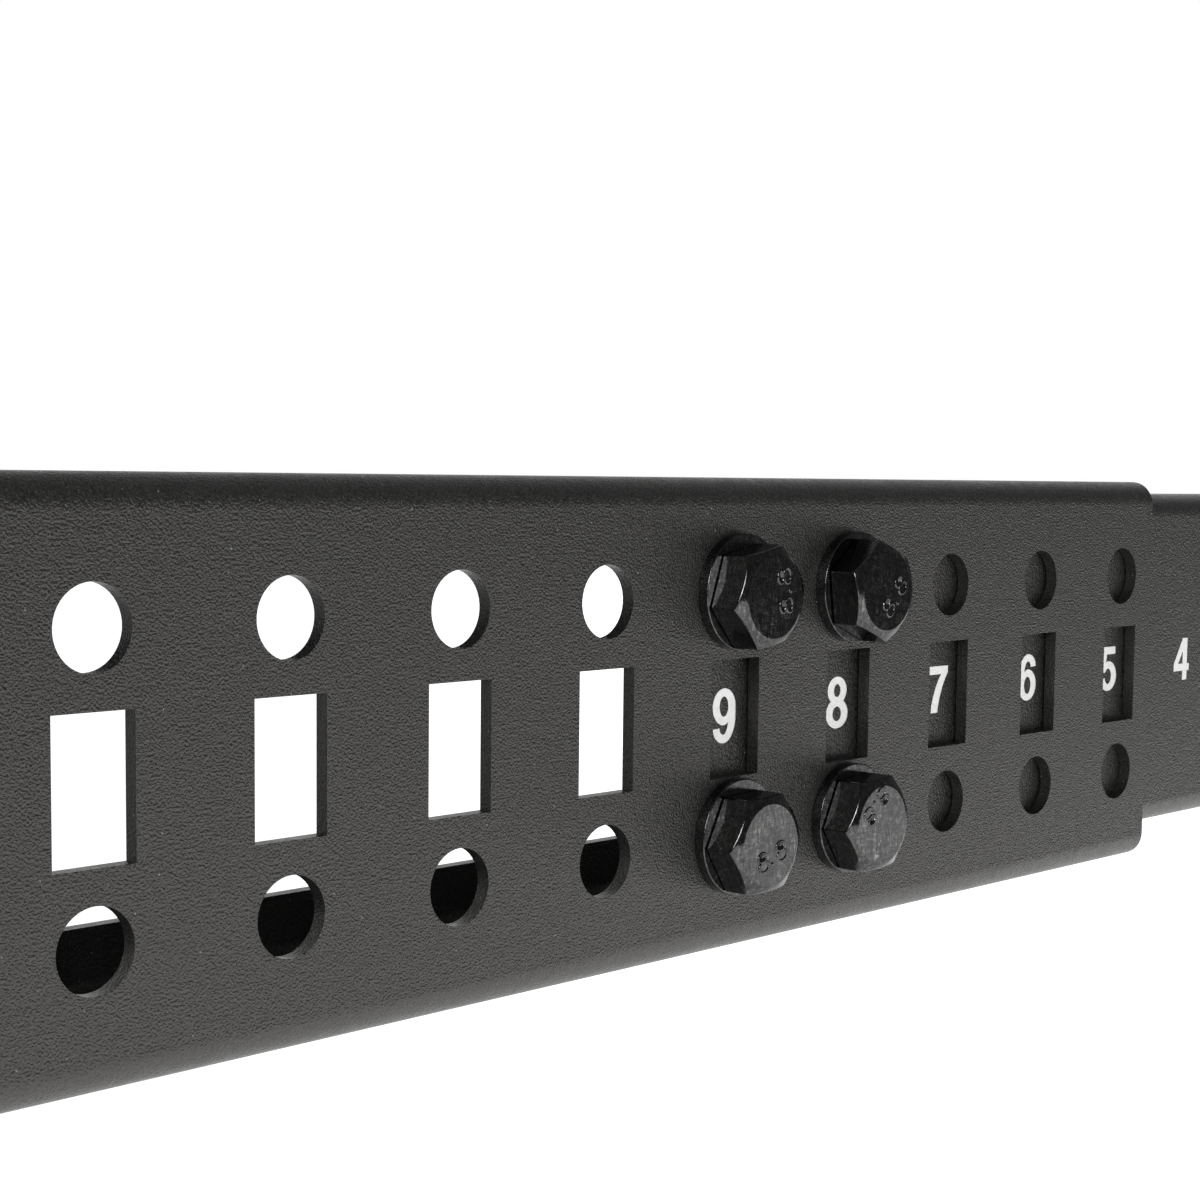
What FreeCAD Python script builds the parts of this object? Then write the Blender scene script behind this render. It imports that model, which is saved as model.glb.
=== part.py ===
import FreeCAD, Part
import os
from math import radians, cos, sin, tan, pi

# ---------------------------------------------------------------------------
# Depth adjustable side rail of an open frame rack: two nested steel channels,
# joined by four bolts with washers and thin headed rivet nuts.
# Millimetres.  +X runs along the rail from the front post to the rear post,
# +Y points into the rack (the way the flanges point), +Z is up.
# The origin is the centre of the two hole pattern at the front end, on the
# outer face of the web, which lies flat on the front post.
# ---------------------------------------------------------------------------

# hole grid
PITCH = 25.4            # one inch from column to column
STATIONS = 22           # columns on the front rail, and steps on the rear rail
ROUND_D = 9.5           # round holes
ROUND_DZ = 33.5         # upper to lower round hole
WIN_W = 10.1            # sight windows
WIN_H = 16.2
END_MARGIN = 9.6        # last column to the cut end

# front rail (outer channel)
SHEET = 2.0
BEND_R = 4.0            # outer bend radius
F_TOP = 32.7            # the hole pattern sits a touch below the middle
F_HEIGHT = 65.3
F_DEPTH = 35.0
F_LIP = 10.35

# rear rail (inner channel, plain flanges without lips)
GAP = 0.3               # between the two webs: the head of the rivet nuts
R_HEIGHT = 58.5
R_TOP_GAP = 0.15        # under the front rail's top flange
R_DEPTH = 15.5
OVERLAP_COLUMN = 17     # front rail column that the rear rail's first holes meet
NUT_HOLE_D = 11.0

# fasteners, M8
BOLT_D = 7.9
BOLT_LEN = 16.0
HEAD_AF = 13.0
HEAD_H = 5.3
HEAD_CHAMFER_DEG = 30.0
HEAD_FLAT_R = 5.75      # round flat left by the chamfer
WASHER_OD = 16.0
WASHER_ID = 9.0
WASHER_T = 1.6
# how far each washer was tightened above its bolt's axis, within its play on the shank
WASHER_UP = {"upper_left": 0.45, "lower_left": 0.45, "upper_right": 0.40, "lower_right": 0.30}
NUT_HEAD_D = 13.0
NUT_BARREL_D = 10.9
NUT_BULGE_D = 14.6
NUT_BULGE_LEN = 4.2
NUT_BORE_D = 8.0
NUT_LEN = 14.0          # behind the rear rail's web face

# turn of each hexagon about its own axis, anticlockwise seen from the head
BOLTS = {
    "upper_left": (0, 1, 11.0),
    "lower_left": (0, -1, 2.5),
    "upper_right": (1, 1, 37.7),
    "lower_right": (1, -1, 3.5),
}


def vec(x, y, z):
    return FreeCAD.Vector(x, y, z)


def channel(x0, x1, y0, z_low, z_high, depth, lip, t, r):
    """C channel with inward lips, web at y0, flanges towards +Y."""
    yb = y0 + depth
    k = 1.0 - cos(radians(45))

    def arc(a, m, b):
        return Part.Arc(vec(x0, *a), vec(x0, *m), vec(x0, *b)).toShape()

    def line(a, b):
        return Part.LineSegment(vec(x0, *a), vec(x0, *b)).toShape()

    ri = r - t
    e = []
    # outside, from the lower lip's tip round to the upper lip's tip
    p = [(yb, z_low + lip), (yb, z_low + r)]
    e.append(line(p[0], p[1]))
    e.append(arc((yb, z_low + r), (yb - r * k, z_low + r * k), (yb - r, z_low)))
    e.append(line((yb - r, z_low), (y0 + r, z_low)))
    e.append(arc((y0 + r, z_low), (y0 + r * k, z_low + r * k), (y0, z_low + r)))
    e.append(line((y0, z_low + r), (y0, z_high - r)))
    e.append(arc((y0, z_high - r), (y0 + r * k, z_high - r * k), (y0 + r, z_high)))
    e.append(line((y0 + r, z_high), (yb - r, z_high)))
    e.append(arc((yb - r, z_high), (yb - r * k, z_high - r * k), (yb, z_high - r)))
    e.append(line((yb, z_high - r), (yb, z_high - lip)))
    # lip's edge, then the inside back again
    e.append(line((yb, z_high - lip), (yb - t, z_high - lip)))
    e.append(line((yb - t, z_high - lip), (yb - t, z_high - r)))
    e.append(arc((yb - t, z_high - r), (yb - t - ri * k, z_high - t - ri * k), (yb - r, z_high - t)))
    e.append(line((yb - r, z_high - t), (y0 + r, z_high - t)))
    e.append(arc((y0 + r, z_high - t), (y0 + t + ri * k, z_high - t - ri * k), (y0 + t, z_high - r)))
    e.append(line((y0 + t, z_high - r), (y0 + t, z_low + r)))
    e.append(arc((y0 + t, z_low + r), (y0 + t + ri * k, z_low + t + ri * k), (y0 + r, z_low + t)))
    e.append(line((y0 + r, z_low + t), (yb - r, z_low + t)))
    e.append(arc((yb - r, z_low + t), (yb - t - ri * k, z_low + t + ri * k), (yb - t, z_low + r)))
    e.append(line((yb - t, z_low + r), (yb - t, z_low + lip)))
    e.append(line((yb - t, z_low + lip), (yb, z_low + lip)))
    wire = Part.Wire(e)
    return Part.Face(wire).extrude(vec(x1 - x0, 0, 0))


def plain_channel(x0, x1, y0, z_low, z_high, depth, t, r):
    """U channel, web at y0, flanges towards +Y, their edges plain."""
    yb = y0 + depth
    k = 1.0 - cos(radians(45))
    ri = r - t

    def arc(a, m, b):
        return Part.Arc(vec(x0, *a), vec(x0, *m), vec(x0, *b)).toShape()

    def line(a, b):
        return Part.LineSegment(vec(x0, *a), vec(x0, *b)).toShape()

    e = [line((yb, z_low), (y0 + r, z_low)),
         arc((y0 + r, z_low), (y0 + r * k, z_low + r * k), (y0, z_low + r)),
         line((y0, z_low + r), (y0, z_high - r)),
         arc((y0, z_high - r), (y0 + r * k, z_high - r * k), (y0 + r, z_high)),
         line((y0 + r, z_high), (yb, z_high)),
         line((yb, z_high), (yb, z_high - t)),
         line((yb, z_high - t), (y0 + r, z_high - t)),
         arc((y0 + r, z_high - t), (y0 + t + ri * k, z_high - t - ri * k), (y0 + t, z_high - r)),
         line((y0 + t, z_high - r), (y0 + t, z_low + r)),
         arc((y0 + t, z_low + r), (y0 + t + ri * k, z_low + t + ri * k), (y0 + r, z_low + t)),
         line((y0 + r, z_low + t), (yb, z_low + t)),
         line((yb, z_low + t), (yb, z_low))]
    return Part.Face(Part.Wire(e)).extrude(vec(x1 - x0, 0, 0))


def drill(x, z, d, y0, t):
    return Part.makeCylinder(d / 2.0, t + 2.0, vec(x, y0 - 1.0, z), vec(0, 1, 0))


def hexagon(af, y0, y1, x, z, turn):
    """Upright prism along Y; the turn is that of one corner from +X to +Z."""
    rc = af / (2.0 * cos(pi / 6))
    pts = [vec(x + rc * cos(radians(turn + 60 * i)), y0, z + rc * sin(radians(turn + 60 * i)))
           for i in range(6)]
    return Part.Face(Part.makePolygon(pts + [pts[0]])).extrude(vec(0, y1 - y0, 0))


os.makedirs("parts", exist_ok=True)
nodes = {}

# --- front rail -------------------------------------------------------------
f_low, f_high = F_TOP - F_HEIGHT, F_TOP
f_x0 = -END_MARGIN
f_x1 = (STATIONS - 1) * PITCH + END_MARGIN
front = channel(f_x0, f_x1, 0.0, f_low, f_high, F_DEPTH, F_LIP, SHEET, BEND_R)
cuts = []
for i in range(STATIONS):
    x = i * PITCH
    cuts.append(drill(x, ROUND_DZ / 2.0, ROUND_D, 0.0, SHEET))
    cuts.append(drill(x, -ROUND_DZ / 2.0, ROUND_D, 0.0, SHEET))
    cuts.append(Part.makeBox(WIN_W, SHEET + 2.0, WIN_H, vec(x - WIN_W / 2.0, -1.0, -WIN_H / 2.0)))
front = front.cut(Part.makeCompound(cuts))
nodes["front_rail"] = front

# --- rear rail --------------------------------------------------------------
r_y0 = SHEET + GAP
r_high = f_high - SHEET - R_TOP_GAP
r_low = r_high - R_HEIGHT
join_x = OVERLAP_COLUMN * PITCH
r_x0 = join_x - END_MARGIN
rear_hole_x = join_x + (STATIONS - 1) * PITCH
r_x1 = rear_hole_x + END_MARGIN
rear = plain_channel(r_x0, r_x1, r_y0, r_low, r_high, R_DEPTH, SHEET, BEND_R)
cuts = []
for x in (join_x, join_x + PITCH):
    for s in (1, -1):
        cuts.append(drill(x, s * ROUND_DZ / 2.0, NUT_HOLE_D, r_y0, SHEET))
for s in (1, -1):
    cuts.append(drill(rear_hole_x, s * ROUND_DZ / 2.0, ROUND_D, r_y0, SHEET))
rear = rear.cut(Part.makeCompound(cuts))
nodes["rear_rail"] = rear

# --- bolts, washers, rivet nuts ----------------------------------------------
for name, (col, s, turn) in BOLTS.items():
    x = join_x + col * PITCH
    z = s * ROUND_DZ / 2.0
    # flat washer on the web
    zw = z + WASHER_UP[name]
    w = Part.makeCylinder(WASHER_OD / 2.0, WASHER_T, vec(x, -WASHER_T, zw), vec(0, 1, 0))
    w = w.cut(Part.makeCylinder(WASHER_ID / 2.0, WASHER_T + 2, vec(x, -WASHER_T - 1, zw), vec(0, 1, 0)))
    nodes["washer_" + name] = w
    # hexagon head, its outer corners taken off by a shallow cone
    y_seat = -WASHER_T
    y_top = y_seat - HEAD_H
    head = hexagon(HEAD_AF, y_top, y_seat, x, z, turn)
    rise = tan(radians(HEAD_CHAMFER_DEG))
    cone = Part.makeCone(HEAD_FLAT_R, HEAD_FLAT_R + HEAD_H / rise, HEAD_H, vec(x, y_top, z), vec(0, 1, 0))
    head = head.common(cone)
    shank_end = y_seat + BOLT_LEN
    point = 0.9
    shank = Part.makeCylinder(BOLT_D / 2.0, BOLT_LEN - point + 0.5, vec(x, y_seat - 0.5, z), vec(0, 1, 0))
    tip = Part.makeCone(BOLT_D / 2.0, BOLT_D / 2.0 - point, point, vec(x, shank_end - point, z), vec(0, 1, 0))
    nodes["bolt_" + name] = head.fuse([shank, tip]).removeSplitter()
    # rivet nut: thin head between the webs, crimped bulge behind, plain barrel
    hd = Part.makeCylinder(NUT_HEAD_D / 2.0, GAP, vec(x, SHEET, z), vec(0, 1, 0))
    barrel = Part.makeCylinder(NUT_BARREL_D / 2.0, NUT_LEN, vec(x, r_y0, z), vec(0, 1, 0))
    yb = r_y0 + SHEET
    c1 = Part.makeCone(NUT_BULGE_D / 2.0, NUT_BARREL_D / 2.0, NUT_BULGE_LEN * 0.6,
                       vec(x, yb + NUT_BULGE_LEN * 0.4, z), vec(0, 1, 0))
    c0 = Part.makeCylinder(NUT_BULGE_D / 2.0, NUT_BULGE_LEN * 0.4, vec(x, yb, z), vec(0, 1, 0))
    nut = hd.fuse([barrel, c0, c1])
    nut = nut.cut(Part.makeCylinder(NUT_BORE_D / 2.0, NUT_LEN + 4, vec(x, SHEET - 1, z), vec(0, 1, 0)))
    nodes["rivet_nut_" + name] = nut.removeSplitter()

for name, shape in nodes.items():
    if shape.ShapeType != "Solid" and len(shape.Solids) == 1:
        shape = shape.Solids[0]
    assert shape.isValid(), name
    shape.exportStep("parts/%s.step" % name)
    b = shape.BoundBox
    print("%-26s solids %d  vol %9.1f  x %8.2f..%8.2f  y %6.2f..%6.2f  z %7.2f..%7.2f"
          % (name, len(shape.Solids), shape.Volume, b.XMin, b.XMax, b.YMin, b.YMax, b.ZMin, b.ZMax))
print("front hole column x 0, first joint column x %.1f, rear hole column x %.1f" % (join_x, rear_hole_x))
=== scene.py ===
import bpy
import bmesh
from math import sin, cos, tan, pi, radians, sqrt, atan2
from mathutils import Vector, Matrix


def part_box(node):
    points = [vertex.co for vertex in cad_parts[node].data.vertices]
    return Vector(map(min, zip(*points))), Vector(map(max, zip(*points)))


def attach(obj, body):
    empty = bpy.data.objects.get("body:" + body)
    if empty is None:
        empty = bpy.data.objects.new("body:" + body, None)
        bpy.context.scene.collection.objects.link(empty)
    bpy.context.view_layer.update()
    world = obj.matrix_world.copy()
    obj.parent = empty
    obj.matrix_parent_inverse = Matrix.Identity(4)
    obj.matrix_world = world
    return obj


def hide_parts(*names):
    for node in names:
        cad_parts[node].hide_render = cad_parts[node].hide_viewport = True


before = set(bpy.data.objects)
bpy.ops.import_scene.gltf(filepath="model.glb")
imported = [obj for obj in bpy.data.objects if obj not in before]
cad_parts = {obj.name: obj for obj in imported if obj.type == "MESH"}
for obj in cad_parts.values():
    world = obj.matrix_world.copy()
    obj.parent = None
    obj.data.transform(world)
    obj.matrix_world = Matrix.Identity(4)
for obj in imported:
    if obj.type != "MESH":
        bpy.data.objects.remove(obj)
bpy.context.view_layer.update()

MM = 0.001
PITCH = 25.4
FIVE_X = 21 * PITCH          # the column where the 5 shows
JOIN_X = 17 * PITCH          # the column where the 9 shows, first of the joint
SCENE = bpy.context.scene


# ---------------------------------------------------------------------------
# small helpers
# ---------------------------------------------------------------------------

def mesh_object(name, verts, faces, smooth=True):
    me = bpy.data.meshes.new(name)
    me.from_pydata(verts, [], faces)
    me.validate()
    me.update()
    if smooth:
        me.shade_smooth()
    ob = bpy.data.objects.new(name, me)
    SCENE.collection.objects.link(ob)
    return ob


def set_material(ob, m):
    ob.data.materials.clear()
    ob.data.materials.append(m)


class Nodes:
    """A short way to write a node tree."""

    def __init__(self, name):
        self.m = bpy.data.materials.new(name)
        self.m.use_nodes = True
        self.t = self.m.node_tree
        self.t.nodes.clear()
        self.out = self.t.nodes.new("ShaderNodeOutputMaterial")
        self.bsdf = self.t.nodes.new("ShaderNodeBsdfPrincipled")
        self.t.links.new(self.bsdf.outputs[0], self.out.inputs[0])
        self.co = self.t.nodes.new("ShaderNodeTexCoord").outputs["Object"]

    def link(self, a, b):
        self.t.links.new(a, b)

    def mapping(self, scale, rot=(0, 0, 0), co=None):
        n = self.t.nodes.new("ShaderNodeMapping")
        n.inputs["Scale"].default_value = scale
        n.inputs["Rotation"].default_value = rot
        self.link(co or self.co, n.inputs["Vector"])
        return n.outputs[0]

    def noise(self, scale, detail=2.0, rough=0.5, distortion=0.0, co=None):
        n = self.t.nodes.new("ShaderNodeTexNoise")
        n.inputs["Scale"].default_value = scale
        n.inputs["Detail"].default_value = detail
        n.inputs["Roughness"].default_value = rough
        n.inputs["Distortion"].default_value = distortion
        self.link(co or self.co, n.inputs["Vector"])
        return n.outputs[0]

    def voronoi(self, scale, feature="SMOOTH_F1", smooth=1.0, co=None, randomness=1.0):
        n = self.t.nodes.new("ShaderNodeTexVoronoi")
        n.feature = feature
        n.inputs["Scale"].default_value = scale
        n.inputs["Randomness"].default_value = randomness
        if feature == "SMOOTH_F1":
            n.inputs["Smoothness"].default_value = smooth
        self.link(co or self.co, n.inputs["Vector"])
        return n.outputs["Distance"]

    def ramp(self, fac, stops):
        n = self.t.nodes.new("ShaderNodeValToRGB")
        e = n.color_ramp.elements
        while len(e) > len(stops):
            e.remove(e[-1])
        while len(e) < len(stops):
            e.new(0.5)
        for el, (pos, col) in zip(e, stops):
            el.position = pos
            el.color = (col, col, col, 1) if isinstance(col, float) else tuple(col) + (1,)
        self.link(fac, n.inputs[0])
        return n.outputs[0]

    def math(self, op, a, b=None, clamp=False):
        n = self.t.nodes.new("ShaderNodeMath")
        n.operation = op
        n.use_clamp = clamp
        for i, v in enumerate((a, b)):
            if v is None:
                continue
            if isinstance(v, (int, float)):
                n.inputs[i].default_value = v
            else:
                self.link(v, n.inputs[i])
        return n.outputs[0]

    def range(self, v, a, b, c, d):
        n = self.t.nodes.new("ShaderNodeMapRange")
        for i, x in enumerate((a, b, c, d)):
            n.inputs[i + 1].default_value = x
        self.link(v, n.inputs[0])
        return n.outputs[0]

    def mix(self, fac, a, b):
        n = self.t.nodes.new("ShaderNodeMix")
        n.data_type = "RGBA"
        if isinstance(fac, (int, float)):
            n.inputs["Factor"].default_value = fac
        else:
            self.link(fac, n.inputs["Factor"])
        for k, v in (("A", a), ("B", b)):
            s = [i for i in n.inputs if i.name == k and i.type == "RGBA"][0]
            if isinstance(v, tuple):
                s.default_value = v + (1,)
            else:
                self.link(v, s)
        return [o for o in n.outputs if o.type == "RGBA"][0]

    def bump(self, height, strength, distance, normal=None):
        n = self.t.nodes.new("ShaderNodeBump")
        n.inputs["Strength"].default_value = strength
        n.inputs["Distance"].default_value = distance
        self.link(height, n.inputs["Height"])
        if normal is not None:
            self.link(normal, n.inputs["Normal"])
        return n.outputs[0]


# ---------------------------------------------------------------------------
# materials
# ---------------------------------------------------------------------------

def powder_coat(name):
    n = Nodes(name)
    # orange-peel skin of the baked powder: fine lumps, a quarter of a millimetre apart
    lumps = n.noise(3300.0, 1.0, 0.5, 0.2)
    broad = n.noise(820.0, 1.0, 0.5, 0.3)
    height = n.math("ADD", n.math("MULTIPLY", lumps, 1.0), n.math("MULTIPLY", broad, 0.28))
    n.link(n.bump(height, 1.0, 0.00017), n.bsdf.inputs["Normal"])
    # painted shade: the base colour follows the height of the skin, so the crests are painted a shade lighter and the
    # creases darker
    c = n.ramp(n.range(height, 0.48, 0.80, 0.0, 1.0), [(0.0, (0.004, 0.004, 0.0042)), (1.0, (0.020, 0.0198, 0.0194))])
    cloud = n.noise(24.0, 3.0, 0.6)
    c = n.mix(n.range(cloud, 0.4, 0.7, 0.0, 0.10), c, (0.035, 0.035, 0.034))
    speck = n.t.nodes.new("ShaderNodeTexVoronoi")
    speck.inputs["Scale"].default_value = 360.0
    n.link(n.co, speck.inputs["Vector"])
    c = n.mix(n.range(speck.outputs["Distance"], 0.030, 0.050, 0.55, 0.0), c, (0.30, 0.30, 0.29))
    n.link(c, n.bsdf.inputs["Base Color"])
    n.link(n.range(n.noise(540.0, 2.0, 0.5), 0.3, 0.7, 0.31, 0.39), n.bsdf.inputs["Roughness"])
    n.bsdf.inputs["Specular IOR Level"].default_value = 0.85
    n.bsdf.inputs["Specular Tint"].default_value = (1.0, 0.975, 0.935, 1.0)
    return n.m


def black_oxide(name, rough=0.08, fibre=1.0):
    n = Nodes(name)
    # short fine scratches in several directions, and a slight unevenness from the forging die
    s1 = n.noise(1.0, 2.0, 0.6, 1.1, n.mapping((2300.0, 2300.0, 640.0), (0.0, 0.5, 0.0)))
    s2 = n.noise(1.0, 2.0, 0.6, 1.1, n.mapping((640.0, 2300.0, 2200.0), (0.0, 0.3, 0.0)))
    s3 = n.noise(1.0, 2.0, 0.6, 1.1, n.mapping((2200.0, 2300.0, 600.0), (0.0, -0.8, 0.0)))
    grain = n.math("MULTIPLY", n.math("ADD", n.math("ADD", s1, s2), s3), 0.3333)
    wave = n.noise(480.0, 2.0, 0.5)
    h = n.math("ADD", n.math("MULTIPLY", grain, 0.8 * fibre), n.math("MULTIPLY", wave, 0.5))
    n.link(n.bump(h, 1.0, 0.000026), n.bsdf.inputs["Normal"])
    c = n.ramp(grain, [(0.38, (0.050, 0.050, 0.052)), (0.50, (0.074, 0.074, 0.075)), (0.58, (0.125, 0.124, 0.121)), (0.66, (0.24, 0.237, 0.23))])
    c = n.mix(n.range(n.noise(430.0, 3.0, 0.65, 0.5), 0.50, 0.70, 0.0, 0.25), c, (0.070, 0.070, 0.072))
    n.link(c, n.bsdf.inputs["Base Color"])
    n.bsdf.inputs["Metallic"].default_value = 1.0
    n.link(n.range(grain, 0.38, 0.62, rough, rough + 0.07), n.bsdf.inputs["Roughness"])
    return n.m


def worn_edge(name):
    """The bolt's edges, where the oxide is rubbed through to the bare steel."""
    n = Nodes(name)
    patch = n.noise(620.0, 3.0, 0.6, 0.4)
    c = n.ramp(patch, [(0.30, (0.32, 0.32, 0.32)), (0.50, (0.86, 0.85, 0.83))])
    n.link(c, n.bsdf.inputs["Base Color"])
    n.bsdf.inputs["Metallic"].default_value = 0.55
    n.link(n.range(patch, 0.3, 0.7, 0.42, 0.30), n.bsdf.inputs["Roughness"])
    n.link(n.bump(n.noise(3000.0, 2.0, 0.6), 0.6, 0.000015), n.bsdf.inputs["Normal"])
    return n.m


def zinc(name):
    n = Nodes(name)
    grain = n.noise(2600.0, 3.0, 0.6, 0.3)
    stain = n.noise(300.0, 3.0, 0.6, 0.5)
    c = n.ramp(grain, [(0.3, (0.42, 0.42, 0.40)), (0.7, (0.62, 0.625, 0.61))])
    c = n.mix(n.range(stain, 0.45, 0.7, 0.0, 0.5), c, (0.34, 0.335, 0.31))
    n.link(c, n.bsdf.inputs["Base Color"])
    n.bsdf.inputs["Metallic"].default_value = 1.0
    n.link(n.range(grain, 0.3, 0.7, 0.26, 0.42), n.bsdf.inputs["Roughness"])
    n.link(n.bump(grain, 0.6, 0.00003), n.bsdf.inputs["Normal"])
    return n.m


def white_ink(name):
    n = Nodes(name)
    lumps = n.noise(1250.0, 1.5, 0.5, 0.0)
    c = n.ramp(lumps, [(0.25, (0.80, 0.80, 0.795)), (0.6, (0.90, 0.90, 0.895))])
    n.link(c, n.bsdf.inputs["Base Color"])
    n.link(n.range(lumps, 0.3, 0.7, 0.5, 0.62), n.bsdf.inputs["Roughness"])
    n.link(n.bump(lumps, 0.6, 0.00008), n.bsdf.inputs["Normal"])
    return n.m


COAT = powder_coat("powder_coat")
OXIDE = black_oxide("black_oxide")
OXIDE_WASHER = black_oxide("black_oxide_washer", 0.12, 1.8)
WORN = worn_edge("worn_steel")
ZINC = zinc("zinc_plate")
INK = white_ink("white_ink")


# ---------------------------------------------------------------------------
# the CAD pieces: their own shape, with softened edges and a finish
# ---------------------------------------------------------------------------

def soften(ob, width, segments=3, angle=35.0):
    w = ob.modifiers.new("weld", "WELD")
    w.merge_threshold = 0.000002
    d = ob.modifiers.new("planar", "DECIMATE")
    d.decimate_type = "DISSOLVE"
    d.angle_limit = radians(0.5)
    b = ob.modifiers.new("edges", "BEVEL")
    b.width = width
    b.segments = segments
    b.limit_method = "ANGLE"
    b.angle_limit = radians(angle)
    b.use_clamp_overlap = True
    n = ob.modifiers.new("normals", "WEIGHTED_NORMAL")
    n.mode = "FACE_AREA"
    n.weight = 100
    ob.data.shade_smooth()
    return ob


for name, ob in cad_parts.items():
    if name.startswith("bolt_"):
        continue
    if name.startswith("washer_"):
        set_material(ob, OXIDE_WASHER)
        soften(ob, 0.17 * MM, 3)
    elif name.startswith("rivet_nut_"):
        set_material(ob, ZINC)
        soften(ob, 0.10 * MM, 2)
    else:
        set_material(ob, COAT)
        soften(ob, 0.22 * MM, 3)


# ---------------------------------------------------------------------------
# printed numbers
# ---------------------------------------------------------------------------

def arc(cx, cy, rx, ry, a0, a1, n=20):
    return [(cx + rx * cos(radians(a0 + (a1 - a0) * i / n)), cy + ry * sin(radians(a0 + (a1 - a0) * i / n)))
            for i in range(n + 1)]


def two_ellipses(c0, r0, c1, r1, n=96):
    """Outline of two overlapping ellipses, one over the other, upper first."""
    def inside(p, c, r):
        return ((p[0] - c[0]) / r[0]) ** 2 + ((p[1] - c[1]) / r[1]) ** 2 < 1.0
    up = [p for p in arc(c0[0], c0[1], r0[0], r0[1], -90, 270, n)[:-1] if not inside(p, c1, r1)]
    low = [p for p in arc(c1[0], c1[1], r1[0], r1[1], 90, 450, n)[:-1] if not inside(p, c0, r0)]
    return up + low


def six():
    outer = arc(0.345, 0.725, 0.30, 0.275, 4, 90, 14)
    outer += arc(0.345, 0.52, 0.345, 0.48, 90, 180, 18)[1:]
    outer += arc(0.33, 0.33, 0.33, 0.335, 180, 450, 40)
    outer += [(0.245, 0.635), (0.19, 0.592)]
    outer += arc(0.345, 0.56, 0.155, 0.30, 168, 90, 14)
    outer += arc(0.345, 0.725, 0.125, 0.135, 90, 4, 10)[1:]
    return [outer, arc(0.335, 0.325, 0.142, 0.20, 0, 360, 36)[:-1]]


GLYPHS = {
    "8": [two_ellipses((0.33, 0.735), (0.285, 0.265), (0.33, 0.28), (0.33, 0.285)),
          arc(0.33, 0.735, 0.115, 0.14, 0, 360, 32)[:-1],
          arc(0.33, 0.275, 0.145, 0.155, 0, 360, 32)[:-1]],
    "6": six(),
    "9": [[(0.66 - x, 1.0 - y) for x, y in c] for c in six()],
    "7": [[(0.02, 1.0), (0.655, 1.0), (0.655, 0.865), (0.56, 0.72), (0.47, 0.53), (0.395, 0.32), (0.345, 0.12), (0.33, 0.0),
           (0.13, 0.0), (0.15, 0.14), (0.20, 0.33), (0.28, 0.54), (0.37, 0.71), (0.465, 0.84), (0.02, 0.84)]],
    "4": [[(0.375, 1.0), (0.575, 1.0), (0.575, 0.375), (0.675, 0.375), (0.675, 0.225), (0.575, 0.225), (0.575, 0.0),
           (0.395, 0.0), (0.395, 0.225), (-0.01, 0.225), (-0.01, 0.39)],
          [(0.395, 0.735), (0.395, 0.375), (0.155, 0.375)]],
    "5": [[(0.105, 1.0), (0.60, 1.0), (0.60, 0.845), (0.245, 0.845), (0.215, 0.625)]
          + arc(0.325, 0.33, 0.335, 0.335, 100, -168, 44)
          + [(0.18, 0.275)]
          + arc(0.322, 0.325, 0.145, 0.19, -165, 140, 40)
          + [(0.19, 0.425), (0.025, 0.435)]],
    "3": [arc(0.315, 0.735, 0.295, 0.265, 176, -38, 34)
          + arc(0.315, 0.28, 0.335, 0.285, 50, -172, 36)
          + [(0.175, 0.27)]
          + arc(0.315, 0.275, 0.15, 0.145, -172, 80, 26)
          + [(0.245, 0.425), (0.245, 0.57)]
          + arc(0.315, 0.725, 0.115, 0.14, -80, 172, 26)],
    "2": [arc(0.325, 0.715, 0.315, 0.285, 176, -32, 34)
          + [(0.50, 0.47), (0.36, 0.33), (0.265, 0.235), (0.235, 0.16), (0.645, 0.16), (0.645, 0.0), (-0.005, 0.0),
             (0.01, 0.12), (0.07, 0.235), (0.19, 0.365), (0.34, 0.50), (0.425, 0.59)]
          + arc(0.325, 0.715, 0.135, 0.14, -28, 172, 22)],
    "1": [[(0.32, 1.0), (0.465, 1.0), (0.465, 0.0), (0.27, 0.0), (0.27, 0.715), (0.10, 0.715), (0.10, 0.845),
           (0.19, 0.862), (0.265, 0.905), (0.305, 0.955)]],
}


def glyph(name, char, height, thick):
    """Flat raised figure in a frame of its own: x right, y up, z towards the reader; millimetres."""
    cu = bpy.data.curves.new(name + "_outline", "CURVE")
    cu.dimensions = "2D"
    cu.fill_mode = "BOTH"
    cu.extrude = 0.05
    cu.bevel_depth = 0.08 * 10.0 / height
    cu.bevel_resolution = 0
    for contour in GLYPHS[char]:
        s = cu.splines.new("POLY")
        s.points.add(len(contour) - 1)
        for p, (x, y) in zip(s.points, contour):
            p.co = ((x - 0.33) * 10.0, (y - 0.5) * 10.0, 0.0, 1.0)
        s.use_cyclic_u = True
    tmp = bpy.data.objects.new(name + "_tmp", cu)
    SCENE.collection.objects.link(tmp)
    bpy.context.view_layer.update()
    me = bpy.data.meshes.new_from_object(tmp.evaluated_get(bpy.context.evaluated_depsgraph_get()))
    bpy.data.objects.remove(tmp)
    bpy.data.curves.remove(cu)
    bm = bmesh.new()
    bm.from_mesh(me)
    bmesh.ops.remove_doubles(bm, verts=bm.verts, dist=1e-5)
    k = height / 10.0
    for v in bm.verts:
        v.co = Vector((v.co.x * k, v.co.y * k, (1.0 if v.co.z > 0 else 0.0) * thick))
    bmesh.ops.recalc_face_normals(bm, faces=bm.faces)
    bm.to_mesh(me)
    bm.free()
    me.name = name
    return me


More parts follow.
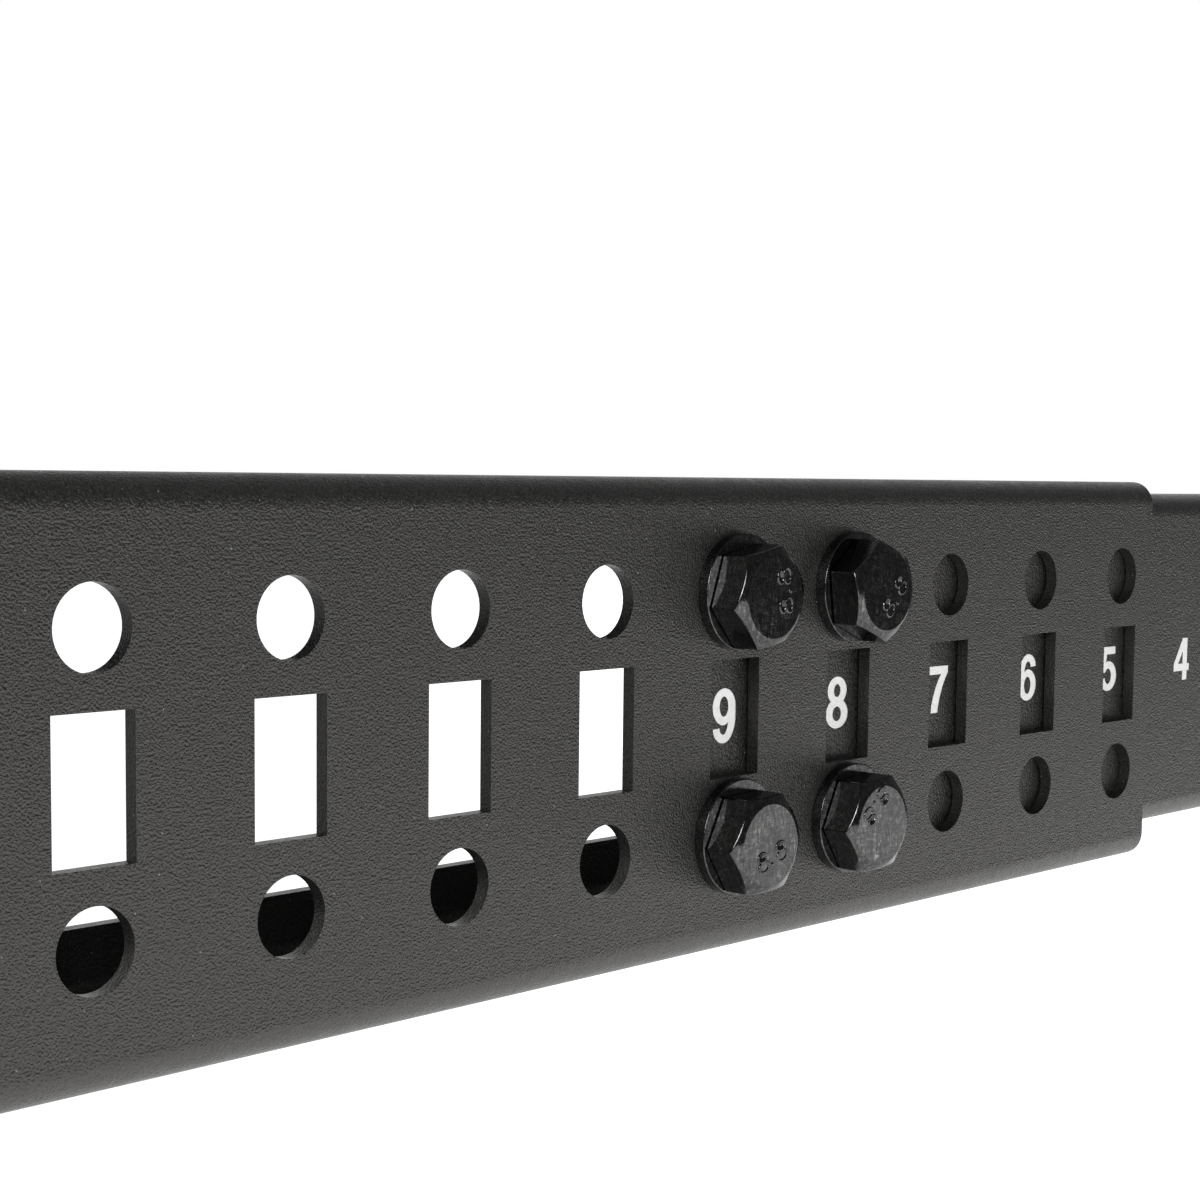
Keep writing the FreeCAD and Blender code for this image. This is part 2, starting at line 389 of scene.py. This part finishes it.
rear_lo, rear_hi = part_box("rear_rail")
INK_Y = rear_lo.y                      # the rear rail's web face
DIGIT_H = 7.42
WIDER = {9: 0.95, 8: 1.02, 7: 1.08, 6: 1.0}    # width of some figures against their outlines
LOWER = {7: 0.955}                              # and height
RISE = {9: 0.02, 8: 0.13, 7: 0.40, 6: 0.74, 5: 0.68, 4: 0.98, 3: 1.1, 2: 1.25, 1: 1.4}
SHIFT = 0.36
columns = {9: 17, 8: 18, 7: 19, 6: 20, 5: 21, 4: 22, 3: 23, 2: 24, 1: 25}
for number, col in sorted(columns.items()):
    me = glyph("number_%d" % number, str(number), DIGIT_H, 0.03)
    # reader looks along +Y: x stays, up is z, thickness comes out towards -Y
    for v in me.vertices:
        x, y, z = v.co
        v.co = Vector(((x * WIDER.get(number, 1.045) + SHIFT + col * PITCH) * MM, INK_Y - z * MM + 0.000005,
                       (y * LOWER.get(number, 1.0) + RISE[number]) * MM))
    ob = bpy.data.objects.new("number_%d" % number, me)
    SCENE.collection.objects.link(ob)
    bm = bmesh.new()
    bm.from_mesh(me)
    bmesh.ops.recalc_face_normals(bm, faces=bm.faces)
    bm.to_mesh(me)
    bm.free()
    set_material(ob, INK)
    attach(ob, "root")


# ---------------------------------------------------------------------------
# hexagon bolts: head with its shallow cone, a disc under it, the strength
# grade 8.8 raised on top, and the thread
# ---------------------------------------------------------------------------

SEAT = -1.6            # top of the washer
TOP = -6.74            # face of the head, the grade stands 0.15 proud of it
AF = 13.0
FLAT_R = 5.75
N = 48


def ring(cx, cy, rx, ry, r, nu=32, nv=12, flat=1.0):
    v, f = [], []
    for i in range(nu):
        a = 2 * pi * i / nu
        c, s = cos(a), sin(a)
        nx, ny = c * ry, s * rx
        l = sqrt(nx * nx + ny * ny)
        nx, ny = nx / l, ny / l
        for j in range(nv):
            b = 2 * pi * j / nv
            v.append((cx + rx * c + r * cos(b) * nx, cy + ry * s + r * cos(b) * ny, r * flat * sin(b)))
    for i in range(nu):
        for j in range(nv):
            f.append((i * nv + j, ((i + 1) % nu) * nv + j, ((i + 1) % nu) * nv + (j + 1) % nv, i * nv + (j + 1) % nv))
    return v, f


def dot(cx, cy, r, nu=20, nv=10, flat=1.0):
    v, f = [(cx, cy, -r * flat)], []
    for j in range(1, nv):
        b = -pi / 2 + pi * j / nv
        for i in range(nu):
            a = 2 * pi * i / nu
            v.append((cx + r * cos(b) * cos(a), cy + r * cos(b) * sin(a), r * flat * sin(b)))
    v.append((cx, cy, r * flat))
    for i in range(nu):
        f.append((0, 1 + (i + 1) % nu, 1 + i))
        for j in range(nv - 2):
            a = 1 + j * nu
            f.append((a + i, a + (i + 1) % nu, a + nu + (i + 1) % nu, a + nu + i))
        last = 1 + (nv - 2) * nu
        f.append((last + i, last + (i + 1) % nu, len(v) - 1))
    return v, f


def grade(x, z, first, second, point):
    """The raised 8.8: centres of both figures and of the point, from the bolt's axis."""
    fa, sb, pt = Vector(first), Vector(second), Vector(point)
    along = (sb - fa).normalized()
    mid = (fa + sb) / 2
    down = Vector((-along.y, along.x))
    if down.dot(pt - mid) < 0:
        down = -down
    verts, faces = [], []
    r = 0.19
    for centre in (fa, sb):
        for v, f in (ring(0, 0.70, 0.86, 0.60, r), ring(0, -0.66, 1.02, 0.70, r)):
            o = len(verts)
            for a, b, c in v:
                p = centre + along * a - down * b
                verts.append(((x + p.x) * MM, (TOP + 0.035 - c) * MM, (z + p.y) * MM))
            faces += [tuple(i + o for i in q) for q in f]
    v, f = dot(0, 0, 0.36, flat=0.5)
    o = len(verts)
    for a, b, c in v:
        p = pt + along * a - down * b
        verts.append(((x + p.x) * MM, (TOP + 0.035 - c) * MM, (z + p.y) * MM))
    faces += [tuple(i + o for i in q) for q in f]
    return verts, faces


def outward(bm):
    bmesh.ops.recalc_face_normals(bm, faces=bm.faces)
    if bm.calc_volume(signed=True) < 0:
        bmesh.ops.reverse_faces(bm, faces=bm.faces)


def bolt(name, node, x, z, turn, first, second, point):
    bm = bmesh.new()
    turn = radians(turn)
    ang = [turn + 2 * pi * i / N for i in range(N)]
    hexr = [AF / 2 / cos(radians((i % 8) / 8 * 60 - 30)) for i in range(N)]

    def circle(r, y):
        rr = r if isinstance(r, list) else [r] * N
        yy = y if isinstance(y, list) else [y] * N
        return [bm.verts.new(((x + rr[i] * cos(ang[i])) * MM, yy[i] * MM, (z + rr[i] * sin(ang[i])) * MM))
                for i in range(N)]

    def skin(a, b):
        for i in range(N):
            bm.faces.new((a[i], a[(i + 1) % N], b[(i + 1) % N], b[i]))

    # thread: a grid that follows the helix, run out at both ends
    p, rows, y0, y1 = 1.25, 10, SEAT + 0.0, 14.4
    low, high = 3.33, 3.95

    def at(i, j):
        raw = y0 + p * (j / rows + i / N)
        y = min(max(raw, y0), y1)
        w = min(1.0, max(0.0, (y - y0 - 0.25) / 0.9), max(0.0, (y1 - y - 0.02) / 0.55))
        tooth = abs(((j / rows) % 1.0) * 2.0 - 1.0)
        tooth = min(1.0, max(0.0, (tooth - 0.12) / 0.76))
        r = low + (high - low) * tooth * w
        return ((x + r * cos(ang[i])) * MM, y * MM, (z + r * sin(ang[i])) * MM)

    first_row, last_row = -rows, int((y1 - y0) / p * rows) + 1
    grid = {}
    for j in range(first_row, last_row + rows + 1):
        for i in range(N):
            grid[i, j] = bm.verts.new(at(i, j))
    for j in range(first_row, last_row):
        for i in range(N):
            a, b, c, d = grid[i, j], None, None, grid[i, j + 1]
            if i + 1 < N:
                b, c = grid[i + 1, j], grid[i + 1, j + 1]
            else:
                b, c = grid[0, j + rows], grid[0, j + 1 + rows]
            bm.faces.new((a, b, c, d))
    bmesh.ops.remove_doubles(bm, verts=bm.verts, dist=1e-7)
    bmesh.ops.dissolve_degenerate(bm, edges=bm.edges, dist=1e-8)
    loose = [v for v in bm.verts if not v.link_faces]
    bmesh.ops.delete(bm, geom=loose, context="VERTS")

    def rim(y):
        got = [v for v in bm.verts if abs(v.co.y - y * MM) < 1e-7 and any(e.is_boundary for e in v.link_edges)]
        got.sort(key=lambda v: (atan2(v.co.z - z * MM, v.co.x * 1.0 - x * MM) - turn + 1e-4) % (2 * pi))
        return got

    neck, tip = rim(y0), rim(y1)
    bm.faces.new(tip)
    # head
    disc0 = circle(5.95, SEAT)
    disc1 = circle(5.95, SEAT - 0.04)
    hex0 = circle(hexr, SEAT - 0.04)
    rise = tan(radians(30))
    hex1 = circle(hexr, [TOP + (r - FLAT_R) * rise for r in hexr])
    flat = circle(FLAT_R, TOP)
    skin(neck, disc0)
    for a, b in ((disc0, disc1), (disc1, hex0), (hex0, hex1), (hex1, flat)):
        skin(a, b)
    bm.faces.new(flat)
    outward(bm)
    def out(v):
        return sqrt((v.co.x / MM - x) ** 2 + (v.co.z / MM - z) ** 2)

    sharp = [e for e in bm.edges if len(e.link_faces) == 2 and e.calc_face_angle() > radians(20)
             and all(v.co.y < (SEAT - 0.03) * MM and (out(v) > 6.3 or v.co.y < (TOP + 0.2) * MM) for v in e.verts)]
    got = bmesh.ops.bevel(bm, geom=sharp, offset=0.22 * MM, segments=4, profile=0.5, affect="EDGES", clamp_overlap=True)
    for fa in got["faces"]:
        c = fa.calc_center_median()
        dx, dz, cy = c.x / MM - x, c.z / MM - z, c.y / MM
        far = AF / 2 / cos((atan2(dz, dx) - turn) % (pi / 3) - pi / 6)
        if far - sqrt(dx * dx + dz * dz) < 0.26 and abs(cy - (TOP + (far - FLAT_R) * rise)) < 0.26:
            fa.material_index = 1
    me = bpy.data.meshes.new(name)
    bm.to_mesh(me)
    bm.free()
    ob = bpy.data.objects.new(name, me)
    SCENE.collection.objects.link(ob)
    # the raised figures become one skin with the head
    v, f = grade(x, z, first, second, point)
    marks = mesh_object(name + "_marks", v, f)
    bm = bmesh.new()
    bm.from_mesh(marks.data)
    outward(bm)
    bm.to_mesh(marks.data)
    bm.free()
    u = ob.modifiers.new("marks", "BOOLEAN")
    u.operation = "UNION"
    u.solver = "EXACT"
    u.use_self = True
    u.object = marks
    bpy.context.view_layer.update()
    new = bpy.data.meshes.new_from_object(ob.evaluated_get(bpy.context.evaluated_depsgraph_get()))
    ob.modifiers.clear()
    ob.data = new
    new.name = name
    bpy.data.objects.remove(marks)
    bpy.data.meshes.remove(me)
    new.shade_smooth()
    wn = ob.modifiers.new("normals", "WEIGHTED_NORMAL")
    wn.weight = 100
    new.materials.clear()
    new.materials.append(OXIDE)
    new.materials.append(WORN)
    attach(ob, "root")
    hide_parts(node)
    return ob


ROW_Z = 33.5 / 2
BOLTS = {
    "upper_left": (0, 1, 11.0, (1.76, 2.78), (2.28, -1.15), (3.2, 0.81)),
    "lower_left": (0, -1, 2.5, (-1.64, -2.19), (2.16, -0.99), (0.23, -2.7)),
    "upper_right": (1, 1, 37.7, (2.94, 0.91), (0.17, -2.22), (2.27, -1.65)),
    "lower_right": (1, -1, 3.5, (-3.13, 1.44), (-0.13, 4.06), (-2.31, 3.4)),
}
for place, (col, s, turn, first, second, point) in BOLTS.items():
    bolt("hex_bolt_" + place, "bolt_" + place, JOIN_X + col * PITCH, s * ROW_Z, turn, first, second, point)


# ---------------------------------------------------------------------------
# stage, light and camera
# ---------------------------------------------------------------------------

def plain(name, colour, emit=0.0):
    m = bpy.data.materials.new(name)
    m.use_nodes = True
    b = m.node_tree.nodes["Principled BSDF"]
    b.inputs["Base Color"].default_value = colour + (1,)
    b.inputs["Roughness"].default_value = 0.9
    b.inputs["Specular IOR Level"].default_value = 0.1
    if emit:
        b.inputs["Emission Color"].default_value = (1, 1, 1, 1)
        b.inputs["Emission Strength"].default_value = emit
    return m


FLOOR_Z = -0.6
floor = mesh_object("floor", [(x, y, FLOOR_Z) for x, y in
                              ((-11, -5.8), (5.6, -5.8), (4.6, -3.0), (4.2, 0), (12, 0.6), (12, 16), (-11, 16))],
                    [tuple(range(7))], False)


def paper(name):
    """White paper floor that glows: evenly white where the camera sees it, and as light for the set it glows evenly far
    off, with painted shade close to the set.
    """
    n = Nodes(name)
    n.bsdf.inputs["Base Color"].default_value = (0.30, 0.30, 0.30, 1)
    n.bsdf.inputs["Roughness"].default_value = 0.9
    n.bsdf.inputs["Specular IOR Level"].default_value = 0.1
    n.bsdf.inputs["Emission Color"].default_value = (1, 1, 1, 1)
    d = n.t.nodes.new("ShaderNodeVectorMath")
    d.operation = "DISTANCE"
    d.inputs[1].default_value = (0.9, 0.1, FLOOR_Z)
    n.link(n.co, d.inputs[0])
    xyz = n.t.nodes.new("ShaderNodeSeparateXYZ")
    n.link(n.co, xyz.inputs[0])

    def step(v, a, b, c, e):
        r = n.t.nodes.new("ShaderNodeMapRange")
        r.interpolation_type = "SMOOTHSTEP"
        for i, w in enumerate((a, b, c, e)):
            r.inputs[i + 1].default_value = w
        n.link(v, r.inputs[0])
        return r.outputs[0]

    # painted shade: the glow that lights the set is dimmer close to the set
    painted_shade_near_set = step(d.outputs["Value"], 0.3, 2.0, 1.05, 1.40)
    # painted shade: the glow that lights the set is dimmer towards the back left of the floor
    back = n.math("ADD", xyz.outputs["Y"], n.math("MULTIPLY", xyz.outputs["X"], -1.0))
    painted_shade_back_left = step(back, -0.4, 1.2, 1.0, 0.16)
    # the floor glows though it is no lamp: flat white to the camera, with the painted shade above in the light it gives
    # the set
    seen = n.t.nodes.new("ShaderNodeLightPath").outputs["Is Camera Ray"]
    n.link(n.math("MAXIMUM", n.math("MULTIPLY", painted_shade_near_set, painted_shade_back_left), n.math("MULTIPLY", seen, 1.05)), n.bsdf.inputs["Emission Strength"])
    return n.m


set_material(floor, paper("glowing_floor_paper"))

world = bpy.data.worlds.new("studio")
SCENE.world = world
world.use_nodes = True
wt = world.node_tree
wt.nodes.clear()
w_out = wt.nodes.new("ShaderNodeOutputWorld")
w_co = wt.nodes.new("ShaderNodeTexCoord")
w_sep = wt.nodes.new("ShaderNodeSeparateXYZ")
wt.links.new(w_co.outputs["Generated"], w_sep.inputs[0])
# white wall behind the object up to about 40 degrees, dim room in front and above
w_y = wt.nodes.new("ShaderNodeMapRange")
w_y.interpolation_type = "SMOOTHSTEP"
w_y.inputs[1].default_value = 0.0
w_y.inputs[2].default_value = 0.30
w_y.inputs[3].default_value = 0.0
w_y.inputs[4].default_value = 1.0
wt.links.new(w_sep.outputs["Y"], w_y.inputs[0])
w_z = wt.nodes.new("ShaderNodeMapRange")
w_z.interpolation_type = "SMOOTHSTEP"
w_z.inputs[1].default_value = 0.22
w_z.inputs[2].default_value = 0.62
w_z.inputs[3].default_value = 1.0
w_z.inputs[4].default_value = 0.16
wt.links.new(w_sep.outputs["Z"], w_z.inputs[0])
w_p = wt.nodes.new("ShaderNodeMath")
w_p.operation = "MULTIPLY"
wt.links.new(w_y.outputs[0], w_p.inputs[0])
wt.links.new(w_z.outputs[0], w_p.inputs[1])
# dimmer to the left and low down, where the room is further off
for axis, lo, hi, a, b in (("X", -0.45, 0.25, 0.20, 1.0), ("Z", 0.02, 0.30, 0.75, 1.0)):
    w_r = wt.nodes.new("ShaderNodeMapRange")
    w_r.interpolation_type = "SMOOTHSTEP"
    for i, v in enumerate((lo, hi, a, b)):
        w_r.inputs[i + 1].default_value = v
    wt.links.new(w_sep.outputs[axis], w_r.inputs[0])
    w_q = wt.nodes.new("ShaderNodeMath")
    w_q.operation = "MULTIPLY"
    wt.links.new(w_p.outputs[0], w_q.inputs[0])
    wt.links.new(w_r.outputs[0], w_q.inputs[1])
    w_p = w_q
w_a = wt.nodes.new("ShaderNodeMath")
w_a.operation = "ADD"
wt.links.new(w_p.outputs[0], w_a.inputs[0])
w_a.inputs[1].default_value = 0.12
w_light = wt.nodes.new("ShaderNodeBackground")
wt.links.new(w_a.outputs[0], w_light.inputs["Color"])
w_light.inputs["Strength"].default_value = 1.0
w_seen = wt.nodes.new("ShaderNodeBackground")
w_seen.inputs["Color"].default_value = (1.0, 1.0, 1.0, 1)
w_seen.inputs["Strength"].default_value = 1.0
w_path = wt.nodes.new("ShaderNodeLightPath")
w_mix = wt.nodes.new("ShaderNodeMixShader")
wt.links.new(w_path.outputs["Is Camera Ray"], w_mix.inputs[0])
wt.links.new(w_light.outputs[0], w_mix.inputs[1])
wt.links.new(w_seen.outputs[0], w_mix.inputs[2])
wt.links.new(w_mix.outputs[0], w_out.inputs["Surface"])


def area(name, pos, target, size, size_y, power):
    li = bpy.data.lights.new(name, "AREA")
    li.shape = "RECTANGLE"
    li.size, li.size_y = size, size_y
    li.energy = power
    ob = bpy.data.objects.new(name, li)
    SCENE.collection.objects.link(ob)
    ob.location = pos
    d = Vector(target) - Vector(pos)
    ob.rotation_euler = d.to_track_quat("-Z", "Y").to_euler()
    ob.visible_camera = False
    return ob


joint = (0.44, 0.0, 0.0)
area("front_key", (-0.32, -0.86, 0.46), joint, 0.45, 0.45, 8.0)

cam_data = bpy.data.cameras.new("camera")
cam = bpy.data.objects.new("camera", cam_data)
SCENE.collection.objects.link(cam)
SCENE.camera = cam
cam_data.sensor_fit = "HORIZONTAL"
cam_data.sensor_width = 36.0
cam_data.lens = 64.008
cam_data.shift_y = 0.04924
cam_data.clip_start = 0.01
cam_data.clip_end = 60.0
yaw, pitch, roll = radians(46.2798), radians(4.9106), radians(0.6348)
f = Vector((sin(yaw), cos(yaw), 0.0))
r = Vector((cos(yaw), -sin(yaw), 0.0))
u = Vector((0.0, 0.0, 1.0))
f2 = f * cos(pitch) - u * sin(pitch)
u2 = u * cos(pitch) + f * sin(pitch)
r3 = r * cos(roll) + u2 * sin(roll)
u3 = -r * sin(roll) + u2 * cos(roll)
m = Matrix((
    (r3.x, u3.x, -f2.x, 209.29 * MM),
    (r3.y, u3.y, -f2.y, -187.095 * MM),
    (r3.z, u3.z, -f2.z, 32.764 * MM),
    (0, 0, 0, 1)))
cam.matrix_world = m

SCENE.cycles.denoising_prefilter = "NONE"
SCENE.view_settings.view_transform = "Standard"
SCENE.view_settings.look = "None"
SCENE.view_settings.exposure = 0.0
SCENE.view_settings.gamma = 1.0

bpy.context.view_layer.update()
